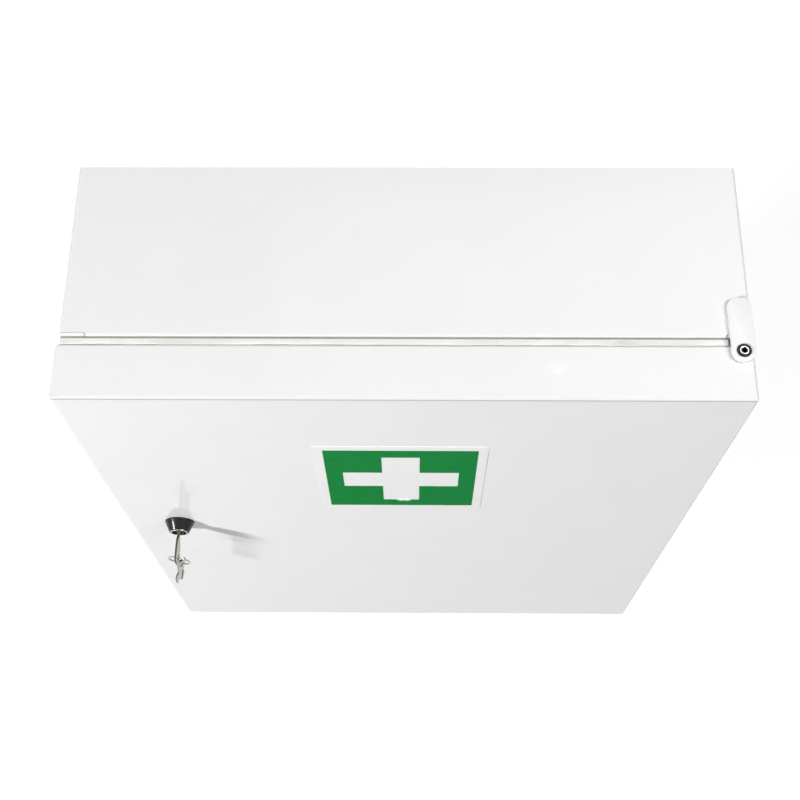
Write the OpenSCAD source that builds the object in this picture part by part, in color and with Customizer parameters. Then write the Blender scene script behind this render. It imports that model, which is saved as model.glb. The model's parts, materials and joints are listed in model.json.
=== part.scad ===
// Wall cabinet for first aid supplies: folded steel casing, hinged pan door, cam lock with keys.
// Origin: centre of the four wall holes, on the back plane. X runs to the right, Z up, and the door faces -Y.

/* [Casing] */
// Width of the casing
casing_w = 365; // [320:1:460]
// Height of the casing
casing_h = 425; // [380:1:540]
// Depth of the casing behind the door
casing_d = 106; // [96:1:160]
// Thickness of the casing and door sheet
sheet_t = 1; // [0.8:0.1:1.2]
// Outer radius of a sheet bend
bend_r = 1.8; // [1.5:0.1:2.4]
// Width of the front flanges at the top, bottom and lock side
flange_w = 13.2; // [12.2:0.1:15]
// Width of the front flange on the hinge side
hinge_flange_w = 25; // [25:0.5:32]
// Width of the seam where two flanges meet at a corner
seam_w = 0.35; // [0.2:0.05:0.6]
// Sideways slant of that seam across the front bend
seam_slant = 1; // [0.5:0.1:2]

/* [Back panel] */
// Depth of the weld flanges that run forward from the back panel
weld_flange_d = 12; // [8:1:16]
// Clearance between the weld flanges and the casing
weld_gap = 0.1; // [0.05:0.05:0.3]
// Sideways distance between the wall holes
wall_hole_dx = 280; // [200:10:300]
// Upright distance between the wall holes
wall_hole_dz = 320; // [200:10:350]
// Diameter of the wall holes
wall_hole_d = 8; // [6:0.5:10]

/* [Shelves] */
// Distance between the tops of the two shelves
shelf_pitch = 141; // [110:1:170]
// Drop of the front edge of a shelf
shelf_lip = 12; // [8:1:18]
// Drop of the back edge of a shelf
shelf_back_lip = 12; // [8:1:18]
// Distance from the casing's front plane to the shelves
shelf_setback = 15; // [13:1:24]
// Clearance at the ends and the back of a shelf
shelf_gap = 0.6; // [0.4:0.1:1.5]
// Width of each leg of a shelf bracket
bracket_leg = 14; // [10:1:20]
// Length of a shelf bracket
bracket_l = 62; // [40:1:64]

/* [Door] */
// Depth of the door
door_d = 32; // [28:0.5:45]
// Gap between the door and the casing
door_gap = 4.2; // [3.8:0.1:5]
// Overhang of the door past the casing on the lock side
door_over = 1.5; // [0:0.1:3]
// Drop of the door below the top strap, the same at the bottom
door_drop = 0.5; // [0.4:0.05:1]
// Width of the door's return flanges
return_w = 14; // [12:0.5:15]
// Width of the return flange on the hinge side
hinge_return_w = 26; // [26:0.5:32]
// Outer radius of the bends between the door's sides and their return flanges
back_bend_r = 3.5; // [2.4:0.1:4]

/* [Seal] */
// Width of the foam strip
seal_w = 10; // [8:0.5:10.5]
// Free space in front of the foam strip
seal_gap = 0.3; // [0.2:0.05:0.6]
// Inset of the foam strip from the casing's outer edge
seal_inset = 1; // [0.6:0.1:2]
// Distance of the foam strip from the edge of the hinge strap
seal_hinge_gap = 1.5; // [1:0.1:2]
// Rounding of the foam strip's front edges
seal_r = 0.8; // [0.3:0.1:1.4]

/* [Hinges] */
// Width of the hinge strap
strap_w = 12.5; // [12:0.1:13]
// Length of the strap behind the pin
strap_l = 31.5; // [26:0.5:40]
// Thickness of the strap
strap_t = 2; // [1.5:0.1:3]
// Rounding of the strap's rear corners
strap_corner_r = 5; // [2:0.5:6]
// Distance from the door's back plane to the pin
pin_setback = 4.5; // [4.5:0.1:5.5]
// Outer diameter of the hollow rivet that is the pin
pin_d = 4.8; // [4:0.1:5]
// Bore of the hollow rivet
pin_bore = 3.4; // [2.4:0.1:3.5]
// Diameter of the rivet's head inside the door
pin_head_d = 6.4; // [5.8:0.1:6.5]
// Thickness of the rivet's head
pin_head_t = 0.8; // [0.5:0.1:1.5]
// Height of the rivet's end above the bush
pin_proud = 0.25; // [0.1:0.05:0.6]
// Running clearance of the rivet in the bush, on the radius
pin_play = 0.05; // [0.02:0.01:0.08]
// Outer diameter of the bush where it passes through the strap
bush_d = 6; // [5.8:0.1:7]
// Diameter of the bush's flange
bush_flange_d = 7.7; // [7.2:0.1:9]
// Thickness of the bush's flange
bush_flange_t = 0.6; // [0.4:0.1:1.2]
// Clearance of a fitted piece in its hole, on the radius
fit_gap = 0.02; // [0.01:0.01:0.05]
// Diameter of the washer between the door and the strap
washer_d = 9; // [8:0.5:10]
// Free space between the washer and the strap
washer_gap = 0.1; // [0.05:0.05:0.2]

/* [Lock] */
// Distance of the lock from the casing's lock side
lock_inset = 32.3; // [32:0.1:40]
// Distance of the lock below the casing's top
lock_below_top = 192.3; // [150:0.1:230]
// Diameter of the rosette on the door
rosette_d = 19.3; // [18:0.1:24]
// Diameter of the rosette's front end
rosette_tip_d = 12.9; // [12.7:0.1:15]
// Height of the rosette
rosette_h = 7.5; // [5:0.1:9]
// Outer diameter of the lock housing
housing_d = 11.5; // [11.5:0.1:12]
// Height of the housing's rim above the rosette
rim_proud = 0.3; // [0.1:0.05:0.8]
// Depth of the plug's face below the rim
plug_recess = 1.5; // [0.8:0.1:2]
// Diameter of the plug
plug_d = 9.8; // [9.8:0.1:10.2]
// Running clearance of the plug in the housing, on the radius
plug_play = 0.05; // [0.02:0.01:0.08]
// Radial space between the housing and what it passes through
housing_gap = 0.1; // [0.05:0.05:0.2]
// Size of the lock nut across its flats
nut_flats = 17; // [16:0.5:19]
// Thickness of the lock nut
nut_t = 5; // [3:0.5:8]
// Free space between the cam and the casing's flange
cam_gap = 2.5; // [2.3:0.1:3.5]
// Thickness of the cam
cam_t = 2; // [1.5:0.1:3]
// Width of the cam
cam_w = 14; // [12:0.5:16]
// Reach of the cam from the lock's axis
cam_l = 26; // [25:0.5:28]
// Side of the plug's square tail
tail_w = 6; // [5:0.1:6.4]
// Diameter of the cam screw
screw_d = 3.4; // [2.6:0.1:3.6]
// Length of the cam screw under its head
screw_l = 10; // [6:0.5:14]
// Diameter of the cam screw's head
screw_head_d = 8; // [8:0.1:9]
// Height of the cam screw's head
screw_head_t = 2.4; // [1.5:0.1:3]

/* [Keys] */
// Length of a key
key_l = 40; // [36:0.5:46]
// Thickness of a key
key_t = 1.4; // [1.2:0.1:1.5]
// Width of the bow of the key in the lock
bow_w = 11; // [9:0.5:13]
// Width of the bow of the spare key
spare_bow_w = 5.8; // [5.2:0.1:6.6]
// Length of a key's bow as far as its shoulder
bow_l = 15.8; // [14:0.1:17]
// Length of the shoulder between bow and neck
shoulder_l = 3.2; // [2:0.1:4]
// Width of the neck behind the shoulder
neck_w = 3.8; // [3.4:0.1:5]
// Width of the blade
blade_w = 7.2; // [6.4:0.1:7.2]
// Length of the blade beyond its widest place
blade_end_l = 10.8; // [9:0.1:12]
// Depth of the notch in the blade's end
fork_depth = 7; // [4:0.5:8]
// Distance of the ring hole from the end of the bow
ring_hole_in = 4.8; // [4.5:0.1:6]
// Distance of the ring hole from the end of the spare key's bow
spare_hole_in = 7; // [6:0.5:8]
// Diameter of the ring hole
ring_hole_d = 3.4; // [3.3:0.1:3.6]
// Length of the key that stands out from the door
key_out = 29.4; // [27:0.1:31]
// Clearance round the key in the keyway
keyway_gap = 0.2; // [0.1:0.05:0.3]
// Space between the ring's wire and the edge of the hole that it rests on
ring_rest_gap = 0.6; // [0.5:0.05:0.8]
// Outer diameter of the key ring
ring_d = 15.3; // [15:0.1:17]
// Diameter of the ring's wire
wire_d = 1.1; // [0.9:0.1:1.2]
// Turn of the ring about the upright
ring_yaw = -11; // [-15:1:15]
// Turn of the spare key about the upright
spare_yaw = 46; // [44:1:60]
// Sideways lean of the spare key
spare_lean = 12; // [0:1:15]
// Forward lean of the spare key
spare_tip = -4; // [-6:1:6]

/* [Sign] */
// Side of the square label
sign_w = 100; // [80:1:120]
// Distance of the label's centre below the casing's top
sign_below_top = 112.5; // [90:0.5:140]
// Sideways place of the label's centre
sign_x = -2.6; // [-20:0.1:20]
// Side of the green field
field_w = 88.9; // [70:0.1:98]
// Length of the cross's arms from end to end
cross_l = 69; // [50:0.5:80]
// Width of the cross's arms
cross_w = 22.2; // [16:0.1:30]
// Thickness of the label
label_t = 0.3; // [0.2:0.05:0.6]
// Thickness of the green field
field_t = 0.15; // [0.1:0.05:0.4]
// Rounding of the label's corners
label_r = 1.5; // [0.5:0.5:4]

/* [Hidden] */
$fn = 48;
// A cut's run past the faces that it opens
over = 1;
// Outer faces of the casing
side_x = casing_w / 2;
top_z = casing_h / 2;
front_y = -casing_d;
// The door's back and front planes and its edges
door_back_y = front_y - door_gap;
door_front_y = door_back_y - door_d;
door_left_x = -side_x - door_over;
door_top_z = top_z - door_drop;
// Inner radius of a sheet bend
bend_in = bend_r - sheet_t;
// Hinge axis
pin_x = side_x - strap_w / 2;
pin_y = door_back_y - pin_setback;
// Thickness of the washer that fills the gap between door and strap
washer_t = door_drop - washer_gap;
// Lock axis
lock_x = -side_x + lock_inset;
lock_z = top_z - lock_below_top;
// Depths behind the door's front plane, along the lock's axis
cam_depth = door_d + door_gap + sheet_t + cam_gap;
housing_end = cam_depth - cam_gap / 2;
// Inner half width and half height left between the back panel's weld flanges
inner_x = side_x - 2 * sheet_t - weld_gap;
shelf_back_y = -sheet_t - shelf_gap;
shelf_front_y = front_y + shelf_setback;
// Keyway and key places
keyway_depth = key_l - key_out + rosette_h + over;
hole_y = door_front_y - key_out + ring_hole_in;
ring_r = (ring_d - wire_d) / 2;
// Distance of the wire from the centre of a ring hole
wire_sag = (ring_hole_d - wire_d) / 2 - ring_rest_gap;
ring_z = lock_z - wire_sag - ring_r;
spare_hole_z = ring_z - ring_r - wire_sag;

// Rectangle between two corner points, with a radius for each corner, anticlockwise from the first point
module soft_rect(lo, hi, radii) {
    corners = [lo, [hi[0], lo[1]], hi, [lo[0], hi[1]]];
    inward = [[1, 1], [-1, 1], [-1, -1], [1, -1]];
    difference() {
        translate(lo) square(hi - lo);
        for (i = [0:3])
            if (radii[i] > 0)
                translate(corners[i] + inward[i] * radii[i] / 2) square(radii[i], center = true);
    }
    for (i = [0:3])
        if (radii[i] > 0)
            translate(corners[i] + inward[i] * radii[i]) circle(radii[i]);
}

// Outline in X and Z drawn out along Y
module along_y(y0, y1) {
    translate([0, y1, 0]) rotate([90, 0, 0]) linear_extrude(y1 - y0) children();
}

// Outline in Y and Z drawn out along X
module along_x(x0, x1) {
    translate([x0, 0, 0]) rotate([90, 0, 90]) linear_extrude(x1 - x0) children();
}

// Outline in X and Y drawn out along Z
module along_z(z0, z1) {
    translate([0, 0, z0]) linear_extrude(z1 - z0) children();
}

// Box whose edges are rounded as bent sheet: corner edges, front edges, back edges at the sides and at the top
module folded_form(lo, hi, corner_r, front_r, side_back_r, top_back_r) {
    intersection() {
        along_y(lo[1], hi[1])
            soft_rect([lo[0], lo[2]], [hi[0], hi[2]], [corner_r, corner_r, corner_r, corner_r]);
        along_z(lo[2], hi[2])
            soft_rect([lo[0], lo[1]], [hi[0], hi[1]], [front_r, front_r, side_back_r, side_back_r]);
        along_x(lo[0], hi[0])
            soft_rect([lo[1], lo[2]], [hi[1], hi[2]], [front_r, top_back_r, top_back_r, front_r]);
    }
}

// Angle section with its outer corner at the origin and legs along +X and +Y
module angle_section(leg_x, leg_y) {
    difference() {
        soft_rect([0, 0], [leg_x, leg_y], [bend_r, 0, 0, 0]);
        soft_rect([sheet_t, sheet_t], [leg_x + over, leg_y + over], [bend_in, 0, 0, 0]);
    }
}

// A copy at the top and its mirror image at the bottom
module at_end(up) {
    mirror([0, 0, up > 0 ? 0 : 1]) children();
}

// Profile turned about the lock's axis; its second coordinate runs out of the door
module on_lock_axis() {
    translate([lock_x, door_front_y, lock_z]) rotate([90, 0, 0]) children();
}

// The notch between a side flange's end and the top sheet, at the front corner on the given side
module corner_seam(side) {
    seam_x = side_x - flange_w;
    seam_y = front_y + bend_r;
    mirror([side > 0 ? 0 : 1, 0, 0]) {
        along_z(top_z - bend_r, top_z + over)
            translate([seam_x, seam_y]) square([flange_w + over, seam_w]);
        along_z(top_z - flange_w - over, top_z + over)
            polygon([
                [seam_x, seam_y + seam_w],
                [seam_x, seam_y],
                [seam_x - seam_slant, front_y - over],
                [seam_x - seam_slant - seam_w, front_y - over],
                [seam_x - seam_w, seam_y + seam_w]
            ]);
    }
}

module casing_wrap() {
    outer = [side_x, 0, top_z];
    inner = [side_x - sheet_t, over, top_z - sheet_t];
    color("white") difference() {
        folded_form([-outer[0], front_y, -outer[2]], outer, bend_r, bend_r, 0, 0);
        folded_form([-inner[0], front_y + sheet_t, -inner[2]], inner, bend_in, bend_in, 0, 0);
        translate([-side_x + flange_w, front_y - over, -top_z + flange_w])
            cube([casing_w - flange_w - hinge_flange_w, sheet_t + 2 * over, casing_h - 2 * flange_w]);
        for (up = [-1, 1], side = [-1, 1])
            at_end(up) corner_seam(side);
        for (up = [-1, 1])
            at_end(up) translate([side_x - hinge_flange_w - over, front_y - over, top_z - flange_w - seam_w])
                cube([hinge_flange_w - flange_w + over, sheet_t + 2 * over, seam_w]);
    }
}

module back_panel() {
    edge_x = side_x - sheet_t - weld_gap;
    edge_z = top_z - sheet_t - weld_gap;
    color("white") difference() {
        folded_form([-edge_x, -weld_flange_d, -edge_z], [edge_x, 0, edge_z], bend_r, 0, bend_r, bend_r);
        folded_form(
            [-edge_x + sheet_t, -weld_flange_d - over, -edge_z + sheet_t],
            [edge_x - sheet_t, -sheet_t, edge_z - sheet_t],
            bend_in, 0, bend_in, bend_in);
        for (dx = [-0.5, 0.5], dz = [-0.5, 0.5])
            translate([dx * wall_hole_dx, over, dz * wall_hole_dz])
                rotate([90, 0, 0]) cylinder(d = wall_hole_d, h = sheet_t + 2 * over);
    }
}

// Shelf tray whose top face is at z
module shelf(z) {
    half_l = inner_x - shelf_gap;
    half_d = (shelf_back_y - shelf_front_y) / 2;
    color("white") along_x(-half_l, half_l) {
        translate([shelf_front_y, z]) mirror([0, 1]) angle_section(half_d + over, shelf_lip);
        translate([shelf_back_y, z]) mirror([1, 0]) mirror([0, 1]) angle_section(half_d, shelf_back_lip);
    }
}

// Angle under a shelf, against the casing's side wall
module bracket(side, z) {
    back_y = -weld_flange_d - 2;
    color("white") mirror([side > 0 ? 0 : 1, 0, 0]) along_y(back_y - bracket_l, back_y)
        translate([side_x - sheet_t, z - sheet_t]) mirror([1, 0]) mirror([0, 1])
            angle_section(bracket_leg, bracket_leg);
}

// Foam strip section in Y and Z, on the casing's front plane
module seal_section() {
    soft_rect([front_y - door_gap + seal_gap, 0], [front_y, seal_w], [seal_r, 0, 0, seal_r]);
}

module seal_across(up) {
    color("cornsilk") at_end(up)
        along_x(-side_x + seal_inset, side_x - strap_w - seal_hinge_gap)
            translate([0, top_z - seal_inset - seal_w]) seal_section();
}

// Upright foam strip whose outer edge is at x, on the given side
module seal_upright(side, x) {
    end_z = top_z - seal_inset - seal_w;
    color("cornsilk") mirror([side > 0 ? 0 : 1, 0, 0]) along_z(-end_z, end_z)
        translate([x - seal_w, 0]) rotate(90) mirror([0, 1]) seal_section();
}

module hinge_strap(up) {
    color("white") at_end(up) translate([pin_x, pin_y, top_z]) difference() {
        linear_extrude(strap_t) {
            circle(d = strap_w);
            soft_rect([-strap_w / 2, 0], [strap_w / 2, strap_l], [0, 0, strap_corner_r, strap_corner_r]);
        }
        translate([0, 0, -over]) cylinder(d = bush_d + 2 * fit_gap, h = strap_t + 2 * over);
    }
}

module hinge_bush(up) {
    bore_r = pin_d / 2 + pin_play;
    edge = bush_flange_t / 3;
    color("black") at_end(up) translate([pin_x, pin_y, top_z]) rotate_extrude() polygon([
        [bore_r, 0],
        [bush_d / 2, 0],
        [bush_d / 2, strap_t],
        [bush_flange_d / 2, strap_t],
        [bush_flange_d / 2, strap_t + bush_flange_t - edge],
        [bush_flange_d / 2 - edge, strap_t + bush_flange_t],
        [bore_r, strap_t + bush_flange_t]
    ]);
}

module hinge_rivet(up) {
    head_z = -door_drop - sheet_t;
    end_z = strap_t + bush_flange_t + pin_proud;
    edge = 0.2;
    color("silver") at_end(up) translate([pin_x, pin_y, top_z]) rotate_extrude() polygon([
        [pin_bore / 2, head_z - pin_head_t],
        [pin_head_d / 2 - edge, head_z - pin_head_t],
        [pin_head_d / 2, head_z - pin_head_t + edge],
        [pin_head_d / 2, head_z],
        [pin_d / 2, head_z],
        [pin_d / 2, end_z - edge],
        [pin_d / 2 - edge, end_z],
        [pin_bore / 2 + edge, end_z],
        [pin_bore / 2, end_z - edge]
    ]);
}

module hinge_washer(up) {
    color("black") at_end(up) translate([pin_x, pin_y, top_z - door_drop]) difference() {
        cylinder(d = washer_d, h = washer_t);
        translate([0, 0, -over]) cylinder(r = pin_d / 2 + pin_play, h = washer_t + 2 * over);
    }
}

module door_shell() {
    outer_lo = [door_left_x, door_front_y, -door_top_z];
    outer_hi = [side_x, door_back_y, door_top_z];
    wall = [sheet_t, sheet_t, sheet_t];
    color("white") difference() {
        folded_form(outer_lo, outer_hi, bend_r, bend_r, back_bend_r, bend_r);
        folded_form(outer_lo + wall, outer_hi - wall, bend_in, bend_in, back_bend_r - sheet_t, bend_in);
        translate([door_left_x + return_w, door_back_y - sheet_t - over, -door_top_z + return_w])
            cube([
                side_x - door_left_x - return_w - hinge_return_w,
                sheet_t + 2 * over,
                2 * (door_top_z - return_w)
            ]);
        for (up = [-1, 1])
            at_end(up) translate([pin_x, pin_y, door_top_z - sheet_t - over])
                cylinder(r = pin_d / 2 + fit_gap, h = sheet_t + 2 * over);
        on_lock_axis() translate([0, 0, -sheet_t - over])
            cylinder(r = housing_d / 2 + housing_gap, h = sheet_t + 2 * over);
    }
}

module lock_rosette() {
    bore_r = housing_d / 2 + housing_gap;
    base_edge = 0.5;
    tip_edge = 0.3;
    color("black") on_lock_axis() rotate_extrude() polygon([
        [bore_r, 0],
        [rosette_d / 2, 0],
        [rosette_d / 2, base_edge],
        [rosette_tip_d / 2, rosette_h - tip_edge],
        [rosette_tip_d / 2 - tip_edge, rosette_h],
        [bore_r, rosette_h]
    ]);
}

module lock_housing() {
    bore_r = plug_d / 2 + plug_play;
    rim_h = rosette_h + rim_proud;
    edge = 0.2;
    color("silver") on_lock_axis() rotate_extrude() polygon([
        [bore_r, -housing_end],
        [housing_d / 2, -housing_end],
        [housing_d / 2, rim_h - edge],
        [housing_d / 2 - edge, rim_h],
        [bore_r + edge, rim_h],
        [bore_r, rim_h - edge]
    ]);
}

module lock_nut() {
    color("silver") on_lock_axis() translate([0, 0, -sheet_t - nut_t]) difference() {
        intersection() {
            cylinder(d = nut_flats / cos(30), h = nut_t, $fn = 6);
            cylinder(d1 = nut_flats + 2 * nut_t, d2 = nut_flats / cos(30) + 0.4, h = nut_t);
        }
        translate([0, 0, -over]) cylinder(r = housing_d / 2 + housing_gap, h = nut_t + 2 * over);
    }
}

module lock_plug() {
    face_h = rosette_h + rim_proud - plug_recess;
    tail_end = cam_depth + cam_t;
    color("silver") on_lock_axis() difference() {
        union() {
            translate([0, 0, -housing_end]) cylinder(d = plug_d, h = housing_end + face_h);
            translate([-tail_w / 2, -tail_w / 2, -tail_end]) cube([tail_w, tail_w, tail_end - housing_end + over]);
        }
        translate([-key_t / 2 - keyway_gap, -blade_w / 2 - keyway_gap, face_h - keyway_depth])
            cube([key_t + 2 * keyway_gap, blade_w + 2 * keyway_gap, keyway_depth + over]);
        translate([0, 0, -tail_end - over]) cylinder(r = screw_d / 2 + fit_gap, h = screw_l + 2 * over);
    }
}

module lock_cam() {
    color("silver") on_lock_axis() translate([0, 0, -cam_depth - cam_t]) difference() {
        linear_extrude(cam_t) {
            circle(d = cam_w);
            soft_rect([-cam_w / 2, -cam_l], [cam_w / 2, 0], [cam_w / 4, cam_w / 4, 0, 0]);
        }
        translate([-tail_w / 2 - fit_gap, -tail_w / 2 - fit_gap, -over])
            cube([tail_w + 2 * fit_gap, tail_w + 2 * fit_gap, cam_t + 2 * over]);
    }
}

module cam_screw() {
    seat = -cam_depth - cam_t;
    slot_w = 1;
    color("silver") on_lock_axis() difference() {
        union() {
            translate([0, 0, seat]) cylinder(d = screw_d, h = screw_l);
            translate([0, 0, seat - screw_head_t]) cylinder(d1 = screw_head_d - 1, d2 = screw_head_d, h = screw_head_t);
        }
        translate([-screw_head_d / 2 - over, -slot_w / 2, seat - screw_head_t - over])
            cube([screw_head_d + 2 * over, slot_w, screw_head_t / 2 + over]);
    }
}

// Flat outline of a key: the end of the bow at x = 0 and the forked end of the blade at x = key_l
module key_outline(bow) {
    bow_round = bow * 0.4;
    neck_x = bow_l + shoulder_l;
    flare_x = key_l - blade_end_l;
    flare_run = 4;
    flare_edge = 0.3;
    tip_w = blade_w * 0.55;
    tip_round = 0.6;
    half = [
        [0, bow / 2],
        [bow_l / 2, bow / 2],
        [bow_l, bow_round],
        [neck_x, neck_w / 2],
        [flare_x - flare_run, blade_w / 2 - flare_edge],
        [flare_x, blade_w / 2],
        [key_l - tip_round, tip_w / 2 + 0.4],
        [key_l, tip_w / 2 - 0.1],
        [key_l - fork_depth, 0.5]
    ];
    intersection() {
        polygon(concat(half, [for (i = [len(half) - 1:-1:0]) [half[i][0], -half[i][1]]]));
        soft_rect([0, -bow / 2 - over], [key_l + over, bow / 2 + over], [bow_round, 0, 0, bow_round]);
    }
}

// Key blank with its ring hole's centre at the origin and its blade along +X, thick in Z
module key_blank(bow, hole_in) {
    difference() {
        translate([-hole_in, 0, -key_t / 2]) linear_extrude(key_t) key_outline(bow);
        translate([0, 0, -key_t / 2 - over]) cylinder(d = ring_hole_d, h = key_t + 2 * over);
    }
}

module key() {
    color("darkkhaki") translate([lock_x, hole_y, lock_z]) rotate([90, 0, 90]) key_blank(bow_w, ring_hole_in);
}

module key_ring() {
    color("silver") translate([lock_x, hole_y, ring_z]) rotate([90, 0, ring_yaw])
        rotate_extrude() translate([ring_r, 0]) circle(d = wire_d, $fn = 24);
}

module spare_key() {
    color("silver") translate([lock_x, hole_y, spare_hole_z])
        rotate([spare_tip, spare_lean, 0]) rotate([0, 0, spare_yaw]) rotate([90, 90, 0])
            key_blank(spare_bow_w, spare_hole_in);
}

module label_square(w, r) {
    soft_rect([-w / 2, -w / 2], [w / 2, w / 2], [r, r, r, r]);
}

// Place of the label: origin on the door's front plane, second coordinate up, third out of the door
module on_sign() {
    translate([sign_x, door_front_y, top_z - sign_below_top]) rotate([90, 0, 0]) children();
}

module sign_plate() {
    color("white") on_sign() linear_extrude(label_t) label_square(sign_w, label_r);
}

module sign_field() {
    color("seagreen") on_sign() translate([0, 0, label_t]) linear_extrude(field_t) difference() {
        square(field_w, center = true);
        square([cross_l, cross_w], center = true);
        square([cross_w, cross_l], center = true);
    }
}

casing_wrap();
back_panel();
shelf(shelf_pitch / 2);  // upper_shelf
shelf(-shelf_pitch / 2);  // lower_shelf
bracket(-1, shelf_pitch / 2);  // bracket_upper_left
bracket(1, shelf_pitch / 2);  // bracket_upper_right
bracket(-1, -shelf_pitch / 2);  // bracket_lower_left
bracket(1, -shelf_pitch / 2);  // bracket_lower_right
seal_across(1);  // seal_top
seal_across(-1);  // seal_bottom
seal_upright(-1, side_x - seal_inset);  // seal_lock_side
seal_upright(1, side_x - strap_w - seal_hinge_gap);  // seal_hinge_side
hinge_strap(1);  // hinge_strap_top
hinge_strap(-1);  // hinge_strap_bottom
hinge_bush(1);  // hinge_bush_top
hinge_bush(-1);  // hinge_bush_bottom
door_shell();
hinge_rivet(1);  // hinge_rivet_top
hinge_rivet(-1);  // hinge_rivet_bottom
hinge_washer(1);  // hinge_washer_top
hinge_washer(-1);  // hinge_washer_bottom
lock_rosette();
lock_housing();
lock_nut();
sign_plate();
sign_field();
lock_plug();
lock_cam();
cam_screw();
key();
key_ring();
spare_key();
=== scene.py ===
import json
import math

import bmesh
import bpy
from mathutils import Matrix, Vector


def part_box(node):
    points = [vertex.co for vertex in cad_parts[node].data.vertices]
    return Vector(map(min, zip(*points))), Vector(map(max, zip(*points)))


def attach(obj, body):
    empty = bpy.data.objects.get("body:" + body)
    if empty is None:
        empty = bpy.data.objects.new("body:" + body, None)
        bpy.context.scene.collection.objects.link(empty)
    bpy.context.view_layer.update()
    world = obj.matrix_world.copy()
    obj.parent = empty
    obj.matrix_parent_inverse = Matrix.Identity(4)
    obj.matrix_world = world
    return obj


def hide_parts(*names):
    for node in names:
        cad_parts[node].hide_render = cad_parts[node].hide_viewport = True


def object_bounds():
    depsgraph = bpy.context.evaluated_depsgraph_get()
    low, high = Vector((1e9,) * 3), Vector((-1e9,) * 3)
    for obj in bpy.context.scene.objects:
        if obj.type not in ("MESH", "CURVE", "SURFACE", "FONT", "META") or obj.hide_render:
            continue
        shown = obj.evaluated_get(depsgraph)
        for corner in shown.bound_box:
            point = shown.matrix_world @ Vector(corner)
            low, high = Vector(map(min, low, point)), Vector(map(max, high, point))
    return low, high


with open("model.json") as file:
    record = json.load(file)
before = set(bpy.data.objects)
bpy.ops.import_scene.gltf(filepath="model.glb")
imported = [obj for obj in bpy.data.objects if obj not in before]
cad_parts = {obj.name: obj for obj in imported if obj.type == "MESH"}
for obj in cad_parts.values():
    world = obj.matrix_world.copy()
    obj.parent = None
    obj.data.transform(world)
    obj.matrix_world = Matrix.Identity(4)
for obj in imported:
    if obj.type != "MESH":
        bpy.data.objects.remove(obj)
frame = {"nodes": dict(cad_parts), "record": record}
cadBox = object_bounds()
mm = 0.001
fine = 0.002 * mm  # below this, two points are one
bodyOf = {node: body for body, nodes in frame["record"]["behaviour"]["bodies"].items() for node in nodes}
slotOf = {part["node"]: part["material_slot"] for part in frame["record"]["subparts"]}
print("frame loaded with", len(bodyOf), "nodes")


def middle(node):
    low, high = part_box(node)
    return (low + high) / 2


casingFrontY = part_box("casing_wrap")[0].y
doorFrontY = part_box("lock_rosette")[1].y  # the rosette's base lies on the door
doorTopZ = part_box("door_shell")[1].z
lockAt = Vector((middle("lock_rosette").x, doorFrontY, middle("lock_rosette").z))
ringAt = middle("key_ring")
bubbleAt = Vector((-0.0006, doorFrontY, 0.0648))  # under the label, at the lower edge of the cross
outOfDoor = Vector((0, -1, 0))

# The camera stands above and in front, as in the photograph
camera = {
    "place": (0.00463, -0.40361, 0.7687),
    "pitch": 68.693,  # degrees down from level
    "yaw": -1.709,
    "roll": 1.357,
    "lens": 53.73,
    "shiftY": 0.1,
}


def makeCamera(own):
    bpy.ops.object.camera_add(location=own["place"])
    eye = bpy.context.object
    turn = Matrix.Rotation(math.radians(-own["yaw"]), 3, "Z")
    turn @= Matrix.Rotation(math.radians(90 - own["pitch"]), 3, "X")
    turn @= Matrix.Rotation(math.radians(-own["roll"]), 3, "Z")
    eye.rotation_euler = turn.to_euler()
    eye.data.lens = own["lens"]
    eye.data.shift_y = own["shiftY"]
    bpy.context.scene.camera = eye


makeCamera(camera)


# Surface patterns
class Wire:  # an output of a node, so that patterns add up as numbers do
    def __init__(self, paint, socket):
        self.paint = paint
        self.socket = socket

    def __add__(self, other):
        return self.paint.sum("ADD", self, other)

    __radd__ = __add__

    def __sub__(self, other):
        return self.paint.sum("SUBTRACT", self, other)

    def __rsub__(self, other):
        return self.paint.sum("SUBTRACT", other, self)

    def __mul__(self, other):
        return self.paint.sum("MULTIPLY", self, other)

    __rmul__ = __mul__


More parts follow.
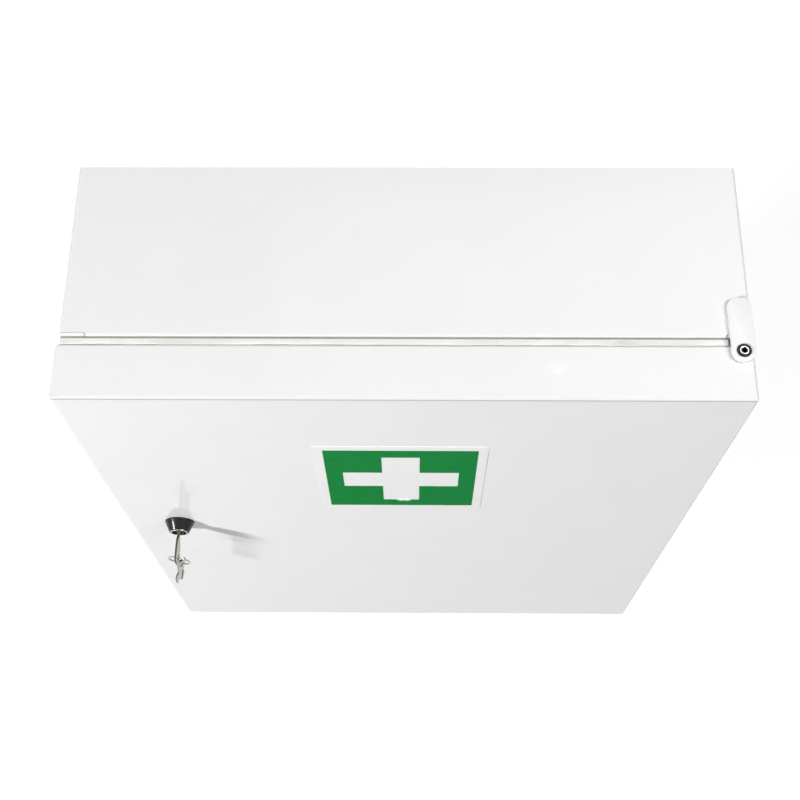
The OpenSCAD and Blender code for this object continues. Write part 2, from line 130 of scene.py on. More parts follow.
class Paint:  # a material, built up from patterns in the piece's own coordinates
    def __init__(self, name, **fixed):
        self.material = bpy.data.materials.new(name)
        self.material.use_nodes = True
        self.tree = self.material.node_tree
        self.shader = self.tree.nodes["Principled BSDF"]
        for socket, value in fixed.items():
            self.shader.inputs[socket.replace("_", " ")].default_value = value
        self.place = self.add("TexCoord", output="Object")

    def add(self, kind, settings=None, sockets=None, output=0):
        node = self.tree.nodes.new("ShaderNode" + kind)
        for name, value in (settings or {}).items():
            setattr(node, name, value)
        for name, value in (sockets or {}).items():
            if isinstance(value, Wire):
                self.tree.links.new(value.socket, node.inputs[name])
            else:
                node.inputs[name].default_value = value
        return Wire(self, node.outputs[output])

    def sum(self, operation, first, second=0.0):
        return self.add("Math", {"operation": operation}, {0: first, 1: second})

    def feed(self, socket, wire):
        self.tree.links.new(wire.socket, self.shader.inputs[socket])

    def moved(self, at=(0, 0, 0), turn=(0, 0, 0), scale=(1, 1, 1)):
        angles = [math.radians(angle) for angle in turn]
        sockets = {"Vector": self.place, "Location": at, "Rotation": angles, "Scale": scale}
        return self.add("Mapping", None, sockets)

    def noise(self, size, detail=2.0, place=None):
        sockets = {"Vector": place or self.place, "Scale": 1 / (size * mm), "Detail": detail}
        return self.add("TexNoise", None, sockets)

    def cells(self, size):
        return self.add("TexVoronoi", None, {"Vector": self.place, "Scale": 1 / (size * mm)})

    def fade(self, value, low, high, first=0.0, last=1.0):
        sockets = {"Value": value, "From Min": low, "From Max": high, "To Min": first, "To Max": last}
        return self.add("MapRange", {"interpolation_type": "SMOOTHSTEP"}, sockets)

    def patches(self, size, detail, low, high):  # noise with its mid tones spread out
        return self.fade(self.noise(size, detail), low, high)

    def distance(self, point, scale):  # from a point, times the scale along X, Y and Z
        place = self.moved([-p * s for p, s in zip(point, scale)], (0, 0, 0), scale)
        return self.add("VectorMath", {"operation": "LENGTH"}, {0: place}, "Value")

    def nearness(self, point, reach):  # 1 at a point, falling to 0 at its reach along X, Y and Z
        return self.fade(self.distance(point, [1 / (r * mm) for r in reach]), 0, 1, 1, 0)

    def colour(self, mask, first, second):
        self.feed("Base Color", self.tint(mask, first, second))

    def tint(self, mask, first, second):
        sockets = {0: mask, 6: first if isinstance(first, Wire) else (*first, 1)}
        sockets[7] = second if isinstance(second, Wire) else (*second, 1)
        return self.add("Mix", {"data_type": "RGBA"}, sockets, 2)

    def lockRadius(self):  # mm from the lock's axis
        return self.distance(lockAt, (1 / mm, 0, 1 / mm))

    def offPlane(self, point, normal):  # mm from a plane, on either side
        along = self.add("VectorMath", {"operation": "DOT_PRODUCT"}, {0: self.place, 1: normal / mm}, "Value")
        return self.sum("ABSOLUTE", along - normal.dot(point) / mm)

    def facing(self, axis):  # how much the surface faces along X, Y or Z of the piece, with its sign
        return self.add("SeparateXYZ", None, {"Vector": self.add("TexCoord", output="Normal")}, axis)

    def flatness(self):  # 1 on the six flat sides of a piece, less in its bends
        sides = [self.sum("ABSOLUTE", self.facing(axis)) for axis in "XYZ"]
        return self.sum("MAXIMUM", self.sum("MAXIMUM", sides[0], sides[1]), sides[2])

    def relief(self, height, depth):
        self.feed("Normal", self.add("Bump", None, {"Height": height, "Distance": depth * mm}))


powderCoat = {
    "light": (0.858, 0.858, 0.855), "dark": (0.848, 0.848, 0.845), "cloudSize": 45,
    "bend": (0.74, 0.74, 0.74),  # painted shade: the forward-facing bends are painted darker
    "bendFlatness": (0.95, 0.995), "bendForward": (-0.25, -0.05),  # that tone fades between these
    "shadeLine": (0.42, 0.42, 0.42),  # and painted shade: a grey stripe runs along the front end of the upper bends
    "shadeLineStart": (0.80, 0.87), "shadeLineEnd": (0.975, 0.995), "shadeLineUp": (0.02, 0.12),
    "rough": 0.05, "roughSpread": 0.04, "gleam": 0.25,
    "peelSize": 2.6, "peelDepth": 0.012,  # mm between the swells of the orange peel, and their depth
    "nibsApart": 14, "nib": 0.035,  # dust grains under the coat
    "paleSpotAt": Vector((0.0799, -0.1247, doorTopZ)), "paleSpotReach": (9, 8, 2),  # a paler spot on the door's top, with a rougher coat and a slight dip
    "paleSpot": (0.93, 0.93, 0.93), "paleSpotShare": 0.7, "paleSpotRough": 0.15,
}


def makePowderCoat(own):
    paint = Paint("whitePowderCoat", Specular_IOR_Level=own["gleam"])
    paleSpot = paint.nearness(own["paleSpotAt"], own["paleSpotReach"]) * paint.patches(5, 3, 0.35, 0.6)
    tone = paint.tint(paint.patches(own["cloudSize"], 3, 0.35, 0.65), own["dark"], own["light"])
    forward = -1.0 * paint.facing("Y")
    # painted shade: bends that face forward are painted a darker grey, and a grey stripe runs along the front
    # end of the upper bends
    bend = paint.fade(paint.flatness(), *own["bendFlatness"], 1, 0)
    bendShaded = paint.tint(bend * paint.fade(forward, *own["bendForward"]), tone, own["bend"])
    shadeLine = paint.fade(forward, *own["shadeLineStart"]) * paint.fade(forward, *own["shadeLineEnd"], 1, 0)
    shadeLine = shadeLine * paint.fade(paint.facing("Z"), *own["shadeLineUp"])
    coat = paint.tint(shadeLine, bendShaded, own["shadeLine"])
    paint.colour(paleSpot * own["paleSpotShare"], coat, own["paleSpot"])
    paint.feed("Roughness", own["rough"] + own["roughSpread"] * paint.noise(12, 3) + own["paleSpotRough"] * paleSpot)
    nibs = paint.fade(paint.cells(own["nibsApart"]), 0.0, own["nib"], 1, 0)
    peel = paint.noise(own["peelSize"], 1.5) + 0.25 * paint.noise(own["peelSize"] / 3, 1) + 0.5 * nibs
    paint.relief(peel - 0.6 * paleSpot, own["peelDepth"])
    return paint.material


foamFinish = {
    "light": (0.88, 0.87, 0.83), "dark": (0.80, 0.79, 0.74), "cloudSize": 20,
    "cell": 0.45, "cellDepth": 0.12,
    "gapShade": (0.36, 0.35, 0.33), "gapShadeThick": 0.8, "gapShadeFade": 0.3,  # painted shade: the foam is grey next to the casing's front, for the shadow in the gap
    "rough": 0.85, "roughSpread": 0.1, "sheen": 0.15, "sheenRough": 0.6,
}


def makeFoamFinish(own):
    paint = Paint("creamFoam", Sheen_Weight=own["sheen"], Sheen_Roughness=own["sheenRough"])
    cell = paint.cells(own["cell"])
    spots = paint.fade(cell, 0.1, 0.7) * 0.7 + 0.3 * paint.noise(own["cloudSize"], 3)
    # painted shade: grey in the gap next to the casing's front
    off = paint.offPlane(Vector((0, casingFrontY, 0)), outOfDoor)
    pastGapShade = paint.fade(off, own["gapShadeThick"], own["gapShadeThick"] + own["gapShadeFade"])
    paint.colour(pastGapShade, own["gapShade"], paint.tint(spots, own["light"], own["dark"]))
    paint.feed("Roughness", own["rough"] + own["roughSpread"] * paint.noise(4))
    paint.relief(1 - cell + 0.5 * paint.noise(2.5, 3), own["cellDepth"])
    return paint.material


nylon = {
    "light": (0.022, 0.022, 0.023), "dark": (0.010, 0.010, 0.011),
    "rough": 0.34, "roughSpread": 0.16, "gleam": 0.2, "grain": 0.3, "grainDepth": 0.02,
}


def makeNylon(own):
    paint = Paint("blackNylon", Specular_IOR_Level=own["gleam"])
    paint.colour(paint.noise(3, 3), own["dark"], own["light"])
    paint.feed("Roughness", own["rough"] + own["roughSpread"] * paint.noise(1.5, 3))
    paint.relief(paint.noise(own["grain"], 2), own["grainDepth"])
    return paint.material


nickel = {"bright": (0.90, 0.89, 0.87), "dull": (0.80, 0.79, 0.76), "rough": 0.14}
lockNickel = {
    "bright": (0.66, 0.60, 0.57), "dull": (0.52, 0.47, 0.44), "rough": 0.12,
    "bore": (0.050, 0.032, 0.022), "boreShadeR": 5.15, "boreShadeFade": 0.15,  # painted shade: dark brown and not metallic within this radius of the lock's axis, where the recessed face of the lock lies
}
ringNickel = {"bright": (0.50, 0.49, 0.47), "dull": (0.34, 0.33, 0.31), "rough": 0.10}
wear = {
    "hazeSize": 3, "hazeRough": 0.10,
    "scratchWide": 0.35, "scratchTurn": (20, 35, 10), "scratchScale": (0.05, 1, 1), "scratchRough": 0.18,
    "depth": 0.006,
}


def makeNickel(name, own):
    paint = Paint(name, Metallic=1.0)
    haze = paint.patches(wear["hazeSize"], 4, 0.35, 0.75)
    lines = paint.moved(turn=wear["scratchTurn"], scale=wear["scratchScale"])
    scratch = paint.fade(paint.noise(wear["scratchWide"], 3, lines), 0.56, 0.66)
    tone = paint.tint(haze * 0.7 + 0.3 * scratch, own["bright"], own["dull"])
    # painted shade: the recessed face round the keyway is painted dark brown and not metallic
    if "bore" in own:
        inside = paint.fade(paint.lockRadius(), own["boreShadeR"], own["boreShadeR"] - own["boreShadeFade"])
        tone = paint.tint(inside, tone, own["bore"])
        paint.feed("Metallic", 1 - inside)
    paint.feed("Base Color", tone)
    paint.feed("Roughness", own["rough"] + wear["hazeRough"] * haze + wear["scratchRough"] * scratch)
    paint.relief(paint.noise(1.2, 2) - 0.3 * scratch, wear["depth"])
    return paint.material


keyMetal = {
    # the rim colour is painted shade: the key's edges are painted much darker than its faces
    "bright": (0.66, 0.65, 0.56), "dull": (0.50, 0.49, 0.41), "rim": (0.13, 0.127, 0.095),
    "halfThick": 0.7, "shadedRimEnd": 0.16, "faceStart": 0.04,  # mm; the last two are depths below the flat face
    "rough": 0.26, "grain": 0.22, "grainScale": (1, 0.06, 1), "depth": 0.012,
}


# painted shade: paintedShade darkens the whole key, and the spare key gets a greyer, darker copy of the same
# metal
def makeKeyMetal(name, own, turn, grey, paintedShade, place):  # painted shade: the rim is painted darker than the two flat faces
    paint = Paint(name, Metallic=1.0)
    grain = paint.noise(own["grain"], 3, paint.moved(turn=turn, scale=own["grainScale"]))
    worn = paint.patches(4, 4, 0.35, 0.7)
    bright, dull, rim = [
        [(c * (1 - grey) + own[part][1] * grey) * paintedShade for c in own[part]]
        for part in ("bright", "dull", "rim")
    ]
    face = paint.tint(paint.fade(grain, 0.3, 0.75) * 0.5 + 0.5 * worn, bright, dull)
    off = paint.offPlane(place.translation, place.to_3x3() @ Vector((0, 0, 1)))
    flat = paint.fade(off, own["halfThick"] - own["shadedRimEnd"], own["halfThick"] - own["faceStart"])
    paint.colour(flat, rim, face)
    paint.feed("Roughness", own["rough"] + 0.14 * grain + 0.10 * worn)
    paint.relief(grain + 0.6 * paint.noise(1.5, 2), own["depth"])
    return paint.material


blackGloss = {
    "light": (0.016, 0.016, 0.017), "dark": (0.006, 0.006, 0.007),
    "rough": 0.185, "roughSpread": 0.03, "gleam": 0.22,
    "turning": 0.22, "turningDepth": 0.0015,  # mm between the marks of the turning tool, and their depth
}


def makeBlackGloss(own):
    paint = Paint("blackGloss", Specular_IOR_Level=own["gleam"])
    rings = paint.sum("SINE", paint.lockRadius() * (2 * math.pi / own["turning"]))
    paint.colour(paint.noise(2, 3), own["dark"], own["light"])
    paint.feed("Roughness", own["rough"] + own["roughSpread"] * paint.noise(1.2, 3))
    paint.relief(rings * 0.25 + 0.1 * paint.noise(0.9, 2), own["turningDepth"])
    return paint.material


zinc = {"blue": (0.64, 0.67, 0.69), "yellow": (0.70, 0.68, 0.61), "rough": 0.30, "depth": 0.008}


def makeZinc(own):
    paint = Paint("zincPlate", Metallic=1.0)
    patch = paint.patches(5, 4, 0.35, 0.65)
    paint.colour(patch, own["blue"], own["yellow"])
    paint.feed("Roughness", own["rough"] + 0.12 * paint.noise(0.8, 4) + 0.06 * patch)
    paint.relief(paint.noise(0.6, 3), own["depth"])
    return paint.material


vinyl = {
    "white": ((0.935, 0.935, 0.935), (0.925, 0.925, 0.925)),
    "green": ((0.020, 0.262, 0.062), (0.017, 0.248, 0.057)),
    "rough": 0.24, "roughSpread": 0.06, "gleam": 0.0, "depth": 0.02,
    "bubbleReach": (7, 4, 4), "bubbleCoat": 0.9, "bubbleRough": 0.12,  # the bubble's skin is taut
}


def makeVinyl(name, own, tones):
    paint = Paint(name, Specular_IOR_Level=own["gleam"], Coat_Roughness=own["bubbleRough"])
    paint.colour(paint.patches(9, 3, 0.3, 0.7), *tones)
    paint.feed("Roughness", own["rough"] + own["roughSpread"] * paint.noise(3, 3))
    paint.feed("Coat Weight", paint.nearness(bubbleAt, own["bubbleReach"]) * own["bubbleCoat"])
    paint.relief(paint.noise(14, 2), own["depth"])
    return paint.material


paints = {
    "white_powder_coat": makePowderCoat(powderCoat),
    "cream_foam": makeFoamFinish(foamFinish),
    "black_nylon": makeNylon(nylon),
    "bright_nickel": makeNickel("brightNickel", nickel),
    "black_gloss": makeBlackGloss(blackGloss),
    "zinc_plate": makeZinc(zinc),
    "sign_white": makeVinyl("signWhite", vinyl, vinyl["white"]),
    "sign_green": makeVinyl("signGreen", vinyl, vinyl["green"]),
}
lockPaint = makeNickel("lockNickel", lockNickel)
ringPaint = makeNickel("ringNickel", ringNickel)
print("paints mixed:", len(paints))


# Working steps
flatAngle = 0.5  # degrees; where two faces turn less, their edge is dissolved


def rotation(degrees, axis):
    return Matrix.Rotation(math.radians(degrees), 4, axis)


def deselect():
    bpy.ops.object.select_all(action="DESELECT")


def grab(piece):
    deselect()
    piece.select_set(True)
    bpy.context.view_layer.objects.active = piece


def openUp(piece, action="DESELECT"):
    grab(piece)
    bpy.ops.object.mode_set(mode="EDIT")
    bpy.ops.mesh.select_mode(type="VERT")
    bpy.ops.mesh.select_all(action=action)


def closeUp():
    bpy.ops.object.mode_set(mode="OBJECT")


def pick(piece, kind, wanted):  # kind is VERT, EDGE or FACE
    bpy.ops.mesh.select_mode(type=kind)
    bpy.ops.mesh.select_all(action="DESELECT")
    mesh = bmesh.from_edit_mesh(piece.data)
    parts = {"VERT": mesh.verts, "EDGE": mesh.edges, "FACE": mesh.faces}[kind]
    for part in [p for p in parts if wanted(p)]:
        part.select_set(True)
    mesh.select_flush_mode()
    bmesh.update_edit_mesh(piece.data)


def faceOut():
    bpy.ops.mesh.select_all(action="SELECT")
    bpy.ops.mesh.normals_make_consistent(inside=False)


def begin(name, primitive, **settings):
    deselect()
    getattr(bpy.ops.mesh, "primitive_" + primitive + "_add")(**settings)
    piece = bpy.context.object
    piece.name = piece.data.name = name
    return piece


def fix(piece):  # its place, turn and size go into its mesh
    grab(piece)
    bpy.ops.object.transform_apply(location=True, rotation=True, scale=True)


def refine(piece, kind, **settings):
    grab(piece)
    modifier = piece.modifiers.new(kind.title(), kind)
    for name, value in settings.items():
        setattr(modifier, name, value)
    bpy.ops.object.modifier_apply(modifier=modifier.name)


def softenEdges(piece, width, segments=3, angle=25):
    refine(
        piece, "BEVEL", width=width * mm, segments=segments, limit_method="ANGLE",
        angle_limit=math.radians(angle))


def settle(piece, *nodes, smooth=35, paint=None):
    fix(piece)
    bpy.ops.object.shade_smooth_by_angle(angle=math.radians(smooth))
    piece.data.materials.clear()
    piece.data.materials.append(paint or paints[slotOf[nodes[0]]])
    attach(piece, bodyOf[nodes[0]])
    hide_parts(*nodes)


def fromNode(name, node):  # a clean copy of a node's mesh to work on
    mesh = frame["nodes"][node].data.copy()
    mesh.name = name
    piece = bpy.data.objects.new(name, mesh)
    bpy.context.scene.collection.objects.link(piece)
    grab(piece)
    bpy.ops.mesh.customdata_custom_splitnormals_clear()
    openUp(piece, "SELECT")
    bpy.ops.mesh.remove_doubles(threshold=fine)
    bpy.ops.mesh.dissolve_limited(angle_limit=math.radians(flatAngle))
    closeUp()
    return piece


def turned(name, centre, axis, outline, sides=96):
    # A ring round the axis. The points of its section are (radius, height), in mm
    upright = abs(axis.z) > 0.5
    piece = begin(
        name, "circle", vertices=sides, radius=outline[0][0] * mm,
        location=centre + axis * outline[0][1] * mm, rotation=(0, 0, 0) if upright else (math.pi / 2, 0, 0),
    )
    openUp(piece, "SELECT")
    for (r0, h0), (r1, h1) in zip(outline, outline[1:] + outline[:1]):
        bpy.ops.mesh.extrude_region_move(TRANSFORM_OT_translate={"value": axis * (h1 - h0) * mm})
        bpy.ops.transform.resize(value=[r1 / r0] * 3, center_override=centre + axis * h1 * mm)
    bpy.ops.mesh.select_all(action="SELECT")
    bpy.ops.mesh.remove_doubles(threshold=fine)
    bpy.ops.mesh.normals_make_consistent(inside=False)
    closeUp()
    fix(piece)
    return piece


def carve(piece, tool):
    refine(piece, "BOOLEAN", object=tool, operation="DIFFERENCE", solver="EXACT")
    bpy.data.objects.remove(tool)


def unite(piece, other):
    refine(piece, "BOOLEAN", object=other, operation="UNION", solver="EXACT")
    bpy.data.objects.remove(other)


# Foam strips on the casing's front
foam = {
    "toStrap": 0.9, "swell": 0.18,  # mm beyond the solid, towards the strap and towards the door
    "edge": 0.15, "groove": 0.7,  # the back edges are cut wide, and leave a groove at the casing
    "longShare": 0.9,  # only edges longer than this share of the strip are cut
    "cutEvery": 7.0, "wave": 0.10, "waveFrom": 0.5,
}


def makeFoam(node, seed):
    low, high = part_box(node)
    low, high = low.copy(), high.copy()
    if node == "seal_top":
        high.x += foam["toStrap"] * mm
    low.y -= foam["swell"] * mm
    size, place = high - low, (low + high) / 2
    along = 0 if size.x > size.z else 2
    strip = begin("foam_" + node, "cube", size=1, location=place, scale=size)
    fix(strip)
    openUp(strip)
    longEdge = size[along] * foam["longShare"]
    for front, width in [(True, foam["edge"]), (False, foam["groove"])]:
        pick(strip, "EDGE", lambda e: (
            all((v.co.y < place.y) == front for v in e.verts) and e.calc_length() > longEdge))
        bpy.ops.mesh.bevel(offset=width * mm, segments=3)
    normal = [0, 0, 0]
    normal[along] = 1
    cuts = round(size[along] / (foam["cutEvery"] * mm))
    for cut in range(1, cuts):
        at = list(place)
        at[along] = low[along] + size[along] * cut / cuts
        bpy.ops.mesh.select_all(action="SELECT")
        bpy.ops.mesh.bisect(plane_co=at, plane_no=normal, threshold=fine)
    pick(strip, "VERT", lambda v: v.co.y < casingFrontY - foam["waveFrom"] * mm)
    bpy.ops.transform.vertex_random(offset=foam["wave"] * mm, uniform=0.0, normal=0.0, seed=seed)
    closeUp()
    settle(strip, node, smooth=50)


for seed, side in enumerate(["top", "bottom", "lock_side", "hinge_side"]):
    makeFoam("seal_" + side, seed + 3)
print("foam strips laid")

# Hinges, with heights from the casing's top or underside
strapEdge = 0.35
bush = {"body": 3.0, "bore": 2.45, "strap": 2.0, "flange": 3.85, "flangeHigh": 0.6, "edge": 0.22}
rivet = {"body": 2.4, "bore": 1.7, "head": 3.2, "headLow": -2.3, "headHigh": -1.5, "end": 2.85, "roll": 0.3}
washer = {"outer": 4.5, "bore": 2.45, "low": -0.5, "high": -0.1, "edge": 0.08}


def makeHinge(end, up):
    pin = middle("hinge_bush_" + end)
    pin.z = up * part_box("casing_wrap")[1].z
    axis = Vector((0, 0, up))
    strap = fromNode("strap_" + end, "hinge_strap_" + end)
    softenEdges(strap, strapEdge, 4)
    settle(strap, "hinge_strap_" + end)
    top = bush["strap"] + bush["flangeHigh"]
    ring = turned("bush_" + end, pin, axis, [
        (bush["bore"], 0), (bush["body"], 0), (bush["body"], bush["strap"]),
        (bush["flange"], bush["strap"]), (bush["flange"], top), (bush["bore"], top),
    ])
    softenEdges(ring, bush["edge"])
    settle(ring, "hinge_bush_" + end)
    tube = turned("rivet_" + end, pin, axis, [
        (rivet["bore"], rivet["headLow"]), (rivet["head"], rivet["headLow"]),
        (rivet["head"], rivet["headHigh"]), (rivet["body"], rivet["headHigh"]),
        (rivet["body"], rivet["end"]), (rivet["bore"], rivet["end"]),
    ])
    softenEdges(tube, rivet["roll"], 5)
    settle(tube, "hinge_rivet_" + end)
    disc = turned("washer_" + end, pin, axis, [
        (washer["bore"], washer["low"]), (washer["outer"], washer["low"]),
        (washer["outer"], washer["high"]), (washer["bore"], washer["high"]),
    ])
    softenEdges(disc, washer["edge"], 2)
    settle(disc, "hinge_washer_" + end)


makeHinge("top", 1)
makeHinge("bottom", -1)
print("hinges made")

# Lock, with heights from the door's front
rosette = {"bore": 5.85, "base": 9.65, "baseEdge": 0.5, "tip": 6.45, "high": 7.5, "edge": 0.22, "sides": 128}
housing = {
    "bore": 4.95, "outer": 5.75, "rim": 7.8, "edge": 0.2,
    "plain": 1.6, "overlap": 0.5,  # the thread starts this far behind the front, and the tube runs on into it
    "pitch": 1.0, "threadDepth": 0.45, "toothTop": (0.42, 0.58), "steps": 48, "drillPast": 5,
}
smallParts = [  # name, node, and width of the soft edges in mm
    ("lock_hex", "lock_nut", 0.3),
    ("cam", "lock_cam", 0.35),
    ("screw", "cam_screw", 0.25),
    ("plug", "lock_plug", 0.12),
]


def makeRosette():
    collar = turned("rosette", lockAt, outOfDoor, [
        (rosette["bore"], 0), (rosette["base"], 0), (rosette["base"], rosette["baseEdge"]),
        (rosette["tip"], rosette["high"]), (rosette["bore"], rosette["high"]),
    ], rosette["sides"])
    softenEdges(collar, rosette["edge"], 4, 20)
    settle(collar, "lock_rosette", smooth=20)


def makeThread(long):  # one tooth wound round the axis, which ends this far behind the door's front
    root = housing["outer"] - housing["threadDepth"]
    turns = math.ceil((long - housing["plain"]) / housing["pitch"]) + 2
    thread = begin("thread", "plane", size=1 * mm, location=lockAt)
    openUp(thread)
    mesh = bmesh.from_edit_mesh(thread.data)
    bmesh.ops.delete(mesh, geom=mesh.verts[:], context="VERTS")
    pitch = housing["pitch"] * mm
    start = (long + housing["pitch"]) * mm
    tooth = [(root, 0), *[(housing["outer"], share) for share in housing["toothTop"]], (root, 1)]
    points = [mesh.verts.new((radius * mm, start - share * pitch, 0)) for radius, share in tooth]
    for first, second in zip(points, points[1:]):
        mesh.edges.new((first, second))
    bmesh.update_edit_mesh(thread.data)
    closeUp()
    refine(
        thread, "SCREW", axis="Y", angle=math.tau, screw_offset=-pitch, iterations=turns,
        steps=housing["steps"], render_steps=housing["steps"], use_merge_vertices=True, merge_threshold=fine,
    )
    openUp(thread, "SELECT")
    bpy.ops.mesh.remove_doubles(threshold=fine)
    for depth, sides in [(long, {"clear_outer": True}), (housing["plain"], {"clear_inner": True})]:
        bpy.ops.mesh.select_all(action="SELECT")
        at = lockAt - outOfDoor * depth * mm
        bpy.ops.mesh.bisect(plane_co=at, plane_no=(0, 1, 0), use_fill=True, threshold=fine, **sides)
    faceOut()
    closeUp()
    reach = (long + housing["drillPast"]) * mm
    drill = begin(
        "drill", "cylinder", vertices=96, radius=housing["bore"] * mm, depth=2 * reach,
        location=lockAt, rotation=(math.pi / 2, 0, 0))
    carve(thread, drill)
    return thread


def makeHousing():
    tubeEnd = -housing["plain"] - housing["overlap"]
    collar = turned("housing", lockAt, outOfDoor, [
        (housing["bore"], tubeEnd), (housing["outer"], tubeEnd),
        (housing["outer"], housing["rim"]), (housing["bore"], housing["rim"]),
    ])
    softenEdges(collar, housing["edge"])
    unite(collar, makeThread((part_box("lock_housing")[1].y - lockAt.y) / mm))
    settle(collar, "lock_housing", smooth=30, paint=lockPaint)


def makeSmallParts():
    for name, node, edge in smallParts:
        piece = fromNode(name, node)
        softenEdges(piece, edge)
        settle(piece, node, paint=lockPaint if node == "lock_plug" else None)


makeRosette()
makeHousing()
makeSmallParts()
print("lock made")

# Keys and their split ring
keyCut = {
    "grooveFrom": 11,  # mm from the key's ring hole
    "grooveLong": 28, "grooveWide": 1.3, "grooveDeep": 0.3, "grooveOff": 1.55, "edge": 0.16,
}
ringShape = {
    "radius": 7.1, "wide": 1.1, "thick": 0.36, "round": 0.1,
    "pitch": 0.4, "turns": 2, "steps": 72, "splitAt": 200, "yaw": -11,
}
spareTurn = {"yaw": 46, "lean": 12, "tip": -4}


def makeKey(name, node, place, grainTurn, grey, paintedShade):
    # Place takes a flat key, with its ring hole at the origin, to where it hangs
    key = fromNode(name, node)
    thick = (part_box("key")[1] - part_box("key")[0]).x
    for side in (-1, 1):
        groove = begin(
            "groove", "cube", size=1,
            location=(keyCut["grooveFrom"] * mm, side * keyCut["grooveOff"] * mm, side * thick / 2),
            scale=(keyCut["grooveLong"] * mm, keyCut["grooveWide"] * mm, 2 * keyCut["grooveDeep"] * mm),
        )
        fix(groove)
        groove.data.transform(Matrix.Translation((keyCut["grooveLong"] / 2 * mm, 0, 0)))
        groove.data.transform(place)
        carve(key, groove)
    softenEdges(key, keyCut["edge"], 2, 30)
    settle(key, node, paint=makeKeyMetal(name + "Metal", keyMetal, grainTurn, grey, paintedShade, place))


def makeKeys():
    hole = Vector((lockAt.x, ringAt.y, lockAt.z))
    place = Matrix.Translation(hole) @ (rotation(90, "Z") @ rotation(90, "X"))
    makeKey("lockKey", "key", place, (0, 0, 0), grey=0, paintedShade=0.92)
    hole.z = 2 * ringAt.z - lockAt.z
    turn = rotation(spareTurn["lean"], "Y") @ rotation(spareTurn["tip"], "X")
    turn @= rotation(spareTurn["yaw"], "Z")
    turn @= rotation(90, "Y") @ rotation(90, "X")
    place = Matrix.Translation(hole) @ turn
    # painted shade: the spare key is a greyer, darker copy of the same key metal
    makeKey("spareKey", "spare_key", place, (0, 0, spareTurn["yaw"]), grey=0.6, paintedShade=0.66)


def makeRing():
    ring = begin("split_ring", "plane", size=1, location=ringAt)
    openUp(ring, "SELECT")
    bpy.ops.transform.rotate(value=math.pi / 2, orient_axis="X", center_override=ringAt)
    section = (ringShape["wide"] * mm, 1, ringShape["thick"] * mm)
    bpy.ops.transform.resize(value=section, center_override=ringAt)
    bpy.ops.mesh.bevel(offset=ringShape["round"] * mm, segments=2, affect="VERTICES")
    bpy.ops.transform.translate(value=(
        ringShape["radius"] * mm, 0, -ringShape["pitch"] * ringShape["turns"] / 2 * mm))
    split = -math.radians(ringShape["splitAt"])
    bpy.ops.transform.rotate(value=split, orient_axis="Z", center_override=ringAt)
    closeUp()
    refine(
        ring, "SCREW", axis="Z", angle=math.tau, screw_offset=ringShape["pitch"] * mm,
        iterations=ringShape["turns"], steps=ringShape["steps"], render_steps=ringShape["steps"],
        use_merge_vertices=False)
    openUp(ring, "SELECT")
    bpy.ops.mesh.remove_doubles(threshold=fine)
    pick(ring, "EDGE", lambda e: e.is_boundary)
    bpy.ops.mesh.edge_face_add()
    faceOut()
    closeUp()
    ring.rotation_euler = (math.pi / 2, 0, math.radians(ringShape["yaw"]))
    settle(ring, "key_ring", smooth=40, paint=ringPaint)


makeKeys()
makeRing()
print("keys made")

# Sign on the door
bubble = {
    "high": 0.85, "reach": 3.4, "apart": 2.2,  # two peaks, each this far from the bubble's middle
    "grid": 0.5, "gridAcross": 8, "gridUp": 5,  # the sheet is cut this far to each side of it
}


def makeSheet(name, node):  # a vinyl sheet with a bubble left under it
    sheet = fromNode(name, node)
    openUp(sheet)
    for normal, reach in [((1, 0, 0), bubble["gridAcross"]), ((0, 0, 1), bubble["gridUp"])]:
        steps = round(reach / bubble["grid"])
        for step in range(-steps, steps + 1):
            bpy.ops.mesh.select_all(action="SELECT")
            at = bubbleAt + Vector(normal) * step * bubble["grid"] * mm
            bpy.ops.mesh.bisect(plane_co=at, plane_no=normal, threshold=fine)
    for side in (-1, 1):
        peak = bubbleAt + Vector((side * bubble["apart"] * mm, 0, 0))
        mesh = bmesh.from_edit_mesh(sheet.data)
        nearest = min(mesh.verts, key=lambda v: (v.co.xz - peak.xz).length)
        near = nearest.co.copy()
        pick(sheet, "VERT", lambda v: (v.co - near).length < 0.5 * bubble["grid"] * mm)
        bpy.ops.transform.translate(
            value=outOfDoor * bubble["high"] * mm, use_proportional_edit=True,
            proportional_edit_falloff="SMOOTH", proportional_size=bubble["reach"] * mm)
    closeUp()
    settle(sheet, node, smooth=30)


makeSheet("label", "sign_plate")
makeSheet("green_field", "sign_field")
print("sign made")

# The sheet metal keeps its meshes and takes the coat. The keys' slot has no paint of its own here, so
# their solids, which are replaced, take the nickel
for node, slotName in slotOf.items():
    for holder in frame["nodes"][node].material_slots:
        holder.material = paints.get(slotName) or paints["bright_nickel"]

# Studio
lamps = [
    {
        "name": "stripLamp", "from": (-0.706, -0.491, 0.509), "far": 1.9, "size": 0.36, "across": 0.09,
        "along": (0.134, -0.291, -0.096), "watts": 43.5, "aim": lockAt,
    },
    {
        "name": "sideBox", "from": (0.85, -0.16, 0.80), "far": 1.25, "size": 0.7, "across": 0.7,
        "along": (0, 1, 0), "watts": 10.4, "aim": Vector((0, -0.05, 0.2)),
    },
    {
        "name": "ceilingBox", "from": (0.22, 0.33, 0.90), "far": 2.8, "size": 2.2, "across": 1.5,
        "along": (1, -0.05, 0), "watts": 8.9, "aim": Vector((0, -0.05, 0.2)),
    },
    {
        "name": "frontBox", "from": (0.55, -0.90, 0.35), "far": 2.4, "size": 1.7, "across": 1.7,
        "along": (1, 0, 0), "watts": 9.5, "aim": Vector((0, -0.14, 0)),
    },
    {
        "name": "rearBox", "from": (-0.25, 1.0, 0.0), "far": 2.2, "size": 0.7, "across": 0.7,
        "along": (1, 0, 0), "watts": 8.0, "aim": Vector((0, 0, 0)),
    },
]
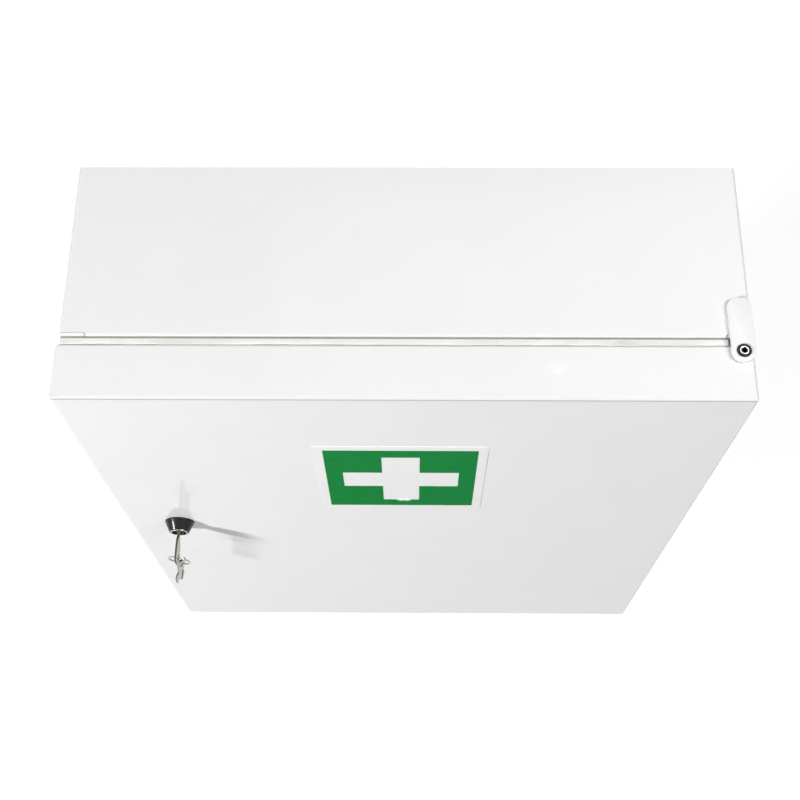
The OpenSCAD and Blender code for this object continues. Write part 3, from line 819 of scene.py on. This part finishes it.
stage = {
    "below": 0.27, "size": 9.0, "floor": (0.42, 0.42, 0.42), "cloudSize": 900, "cloudTone": 0.98,
    "rough": 0.9, "glow": 0.76, "sky": 0.02,
}


def makeLamps():
    for lamp in lamps:
        back = Vector(lamp["from"]).normalized()
        side = Vector(lamp["along"])
        side = (side - back * side.dot(back)).normalized()
        bpy.ops.object.light_add(type="AREA", location=lamp["aim"] + back * lamp["far"])
        light = bpy.context.object
        light.name = lamp["name"]
        light.rotation_euler = Matrix((side, back.cross(side), back)).transposed().to_euler()
        light.data.shape = "RECTANGLE" if lamp["across"] < lamp["size"] else "DISK"
        light.data.size = lamp["size"]
        light.data.size_y = lamp["across"]
        light.data.energy = lamp["watts"]


def seenRays(paint):  # 1 for what the camera, a mirror or a glass sees
    path = paint.add("LightPath", output="Is Camera Ray")
    mirrored = paint.add("LightPath", output="Is Glossy Ray")
    through = paint.add("LightPath", output="Is Transmission Ray")
    return paint.sum("MAXIMUM", paint.sum("MAXIMUM", path, mirrored), through)


def makeFloor():
    floor = begin("floor", "plane", size=stage["size"], location=(0, 0, cadBox[0].z - stage["below"]))
    paint = Paint("paleFloor", Roughness=stage["rough"], Emission_Color=(1, 1, 1, 1))
    cloud = [c * stage["cloudTone"] for c in stage["floor"]]
    paint.colour(paint.noise(stage["cloudSize"], 2), stage["floor"], cloud)
    paint.feed("Emission Strength", seenRays(paint) * stage["glow"])
    floor.data.materials.append(paint.material)
    fix(floor)


def makeSky():
    world = bpy.data.worlds.new("studioSky")
    world.use_nodes = True
    bpy.context.scene.world = world
    tree = world.node_tree
    path = tree.nodes.new("ShaderNodeLightPath")
    seen = tree.nodes.new("ShaderNodeMath")
    seen.operation = "MAXIMUM"
    through = tree.nodes.new("ShaderNodeMath")
    through.operation = "MAXIMUM"
    strength = tree.nodes.new("ShaderNodeMapRange")
    strength.inputs["To Min"].default_value = stage["sky"]
    strength.inputs["To Max"].default_value = 1.0
    tree.links.new(path.outputs["Is Camera Ray"], seen.inputs[0])
    tree.links.new(path.outputs["Is Glossy Ray"], seen.inputs[1])
    tree.links.new(seen.outputs[0], through.inputs[0])
    tree.links.new(path.outputs["Is Transmission Ray"], through.inputs[1])
    tree.links.new(through.outputs[0], strength.inputs["Value"])
    background = tree.nodes["Background"]
    background.inputs["Color"].default_value = (1, 1, 1, 1)
    tree.links.new(strength.outputs[0], background.inputs["Strength"])


makeLamps()
makeFloor()
makeSky()
bpy.context.scene.view_settings.view_transform = "Standard"
print("studio set")
